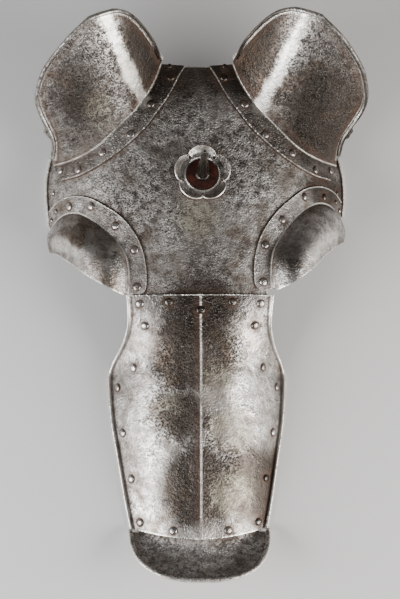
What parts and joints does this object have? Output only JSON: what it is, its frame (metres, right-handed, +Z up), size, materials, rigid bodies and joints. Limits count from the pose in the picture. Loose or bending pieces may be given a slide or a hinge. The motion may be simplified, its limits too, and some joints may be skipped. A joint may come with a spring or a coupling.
{
  "type": "horse head armour",
  "caption": "Steel horse head armour: a broad brow plate with flared ear and eye guards, a keeled nasal plate with side lips, a rolled nose plate and a spiked rosette.",
  "frame": {"origin": "on the surface that the armour lies on, under the middle of its box", "axes": "+Y towards the poll end, -Y towards the nose end, +X to the right in the picture, +Z up out of the armour's face"},
  "size_m": [0.3686, 0.6174, 0.1851],
  "materials": {
    "plate_steel": "old forged steel, scoured by hand, pitted and brown in the hollows",
    "rivet_steel": "worn bright on the domes",
    "rosette_steel": "worn bright on the edges of the petals",
    "spike_steel": "dark forged steel, bright on the ridges",
    "disc_leather": "dry red-brown leather"
  },
  "bodies": {
    "root": {"brow_plate": "plate_steel", "ear_guard_left": "plate_steel", "ear_guard_right": "plate_steel", "ear_rivet_left_1": "rivet_steel", "ear_rivet_left_2": "rivet_steel", "ear_rivet_left_3": "rivet_steel", "ear_rivet_left_4": "rivet_steel", "ear_rivet_left_5": "rivet_steel", "ear_rivet_left_6": "rivet_steel", "ear_rivet_left_7": "rivet_steel", "ear_rivet_right_1": "rivet_steel", "ear_rivet_right_2": "rivet_steel", "ear_rivet_right_3": "rivet_steel", "ear_rivet_right_4": "rivet_steel", "ear_rivet_right_5": "rivet_steel", "ear_rivet_right_6": "rivet_steel", "ear_rivet_right_7": "rivet_steel", "eye_guard_left": "plate_steel", "eye_guard_right": "plate_steel", "eye_rivet_left_1": "rivet_steel", "eye_rivet_left_2": "rivet_steel", "eye_rivet_left_3": "rivet_steel", "eye_rivet_left_4": "rivet_steel", "eye_rivet_left_5": "rivet_steel", "eye_rivet_left_6": "rivet_steel", "eye_rivet_left_7": "rivet_steel", "eye_rivet_right_1": "rivet_steel", "eye_rivet_right_2": "rivet_steel", "eye_rivet_right_3": "rivet_steel", "eye_rivet_right_4": "rivet_steel", "eye_rivet_right_5": "rivet_steel", "eye_rivet_right_6": "rivet_steel", "eye_rivet_right_7": "rivet_steel", "joint_rivet_left_1": "rivet_steel", "joint_rivet_left_2": "rivet_steel", "joint_rivet_right_1": "rivet_steel", "joint_rivet_right_2": "rivet_steel", "keel_rivet": "rivet_steel", "lining_rivet_left_1": "rivet_steel", "lining_rivet_left_2": "rivet_steel", "lining_rivet_left_3": "rivet_steel", "lining_rivet_left_4": "rivet_steel", "lining_rivet_left_5": "rivet_steel", "lining_rivet_right_1": "rivet_steel", "lining_rivet_right_2": "rivet_steel", "lining_rivet_right_3": "rivet_steel", "lining_rivet_right_4": "rivet_steel", "lining_rivet_right_5": "rivet_steel", "nasal_plate": "plate_steel", "nose_plate": "plate_steel", "nose_rivet_left_1": "rivet_steel", "nose_rivet_left_2": "rivet_steel", "nose_rivet_right_1": "rivet_steel", "nose_rivet_right_2": "rivet_steel", "rosette": "rosette_steel", "rosette_disc": "disc_leather", "spike": "spike_steel", "wing_rivet_left_1": "rivet_steel", "wing_rivet_right_1": "rivet_steel"}
  },
  "joints": []
}
